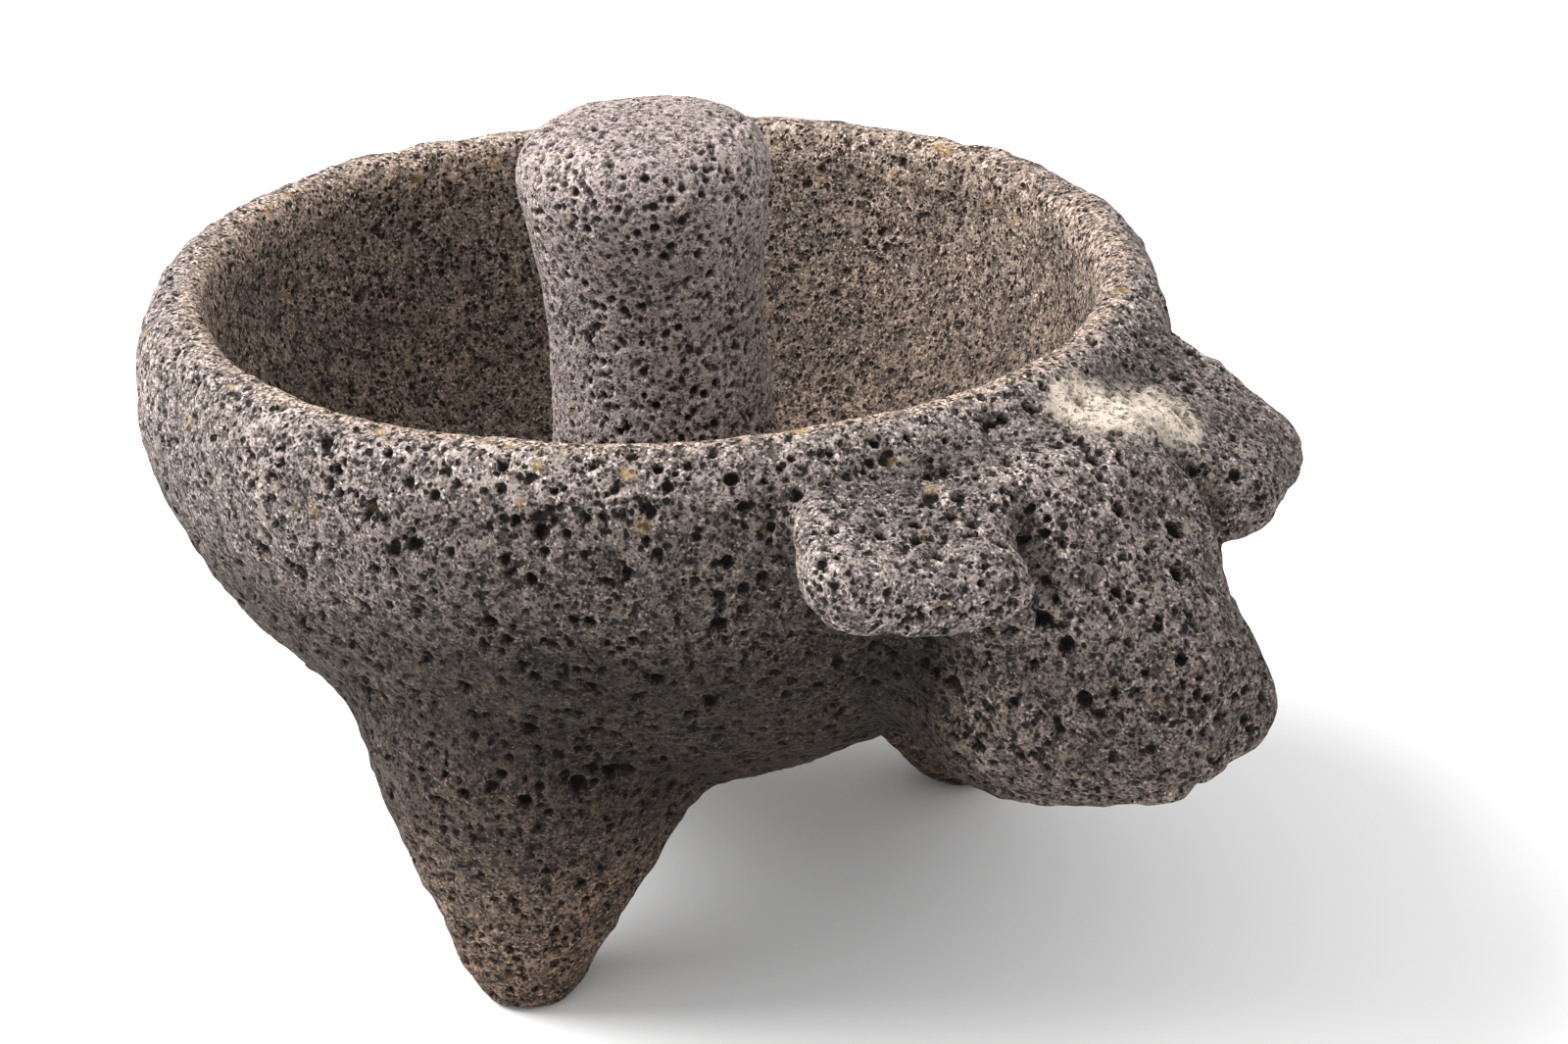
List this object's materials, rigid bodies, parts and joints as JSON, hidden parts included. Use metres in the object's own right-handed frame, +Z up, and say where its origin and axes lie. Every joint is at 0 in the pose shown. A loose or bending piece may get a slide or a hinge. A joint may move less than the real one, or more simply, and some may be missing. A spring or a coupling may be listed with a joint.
{
  "type": "stone mortar and pestle",
  "caption": "Round bowl carved from porous volcanic stone on tapered legs, with a pig's head and ears at the rim and a loose stone pestle standing in it.",
  "frame": {"origin": "on the ground, under the middle of the part's box; the bowl's axis stands 21 mm behind it, at +Y", "axes": "+Z up; the pig's head points towards -Y and the rear leg is at +Y; +X is on the right for a viewer facing the head"},
  "size_m": [0.206, 0.248, 0.1623],
  "materials": {
    "mortar_stone": "matte",
    "pestle_stone": "matte"
  },
  "bodies": {
    "mortar": {"mortar": "mortar_stone"},
    "pestle": {"pestle": "pestle_stone"}
  },
  "joints": [
    {"name": "pestle_lift", "type": "slide", "parent": "mortar", "child": "pestle", "axis": [0, 0, 1], "range_m": [0, 0.15]}
  ]
}
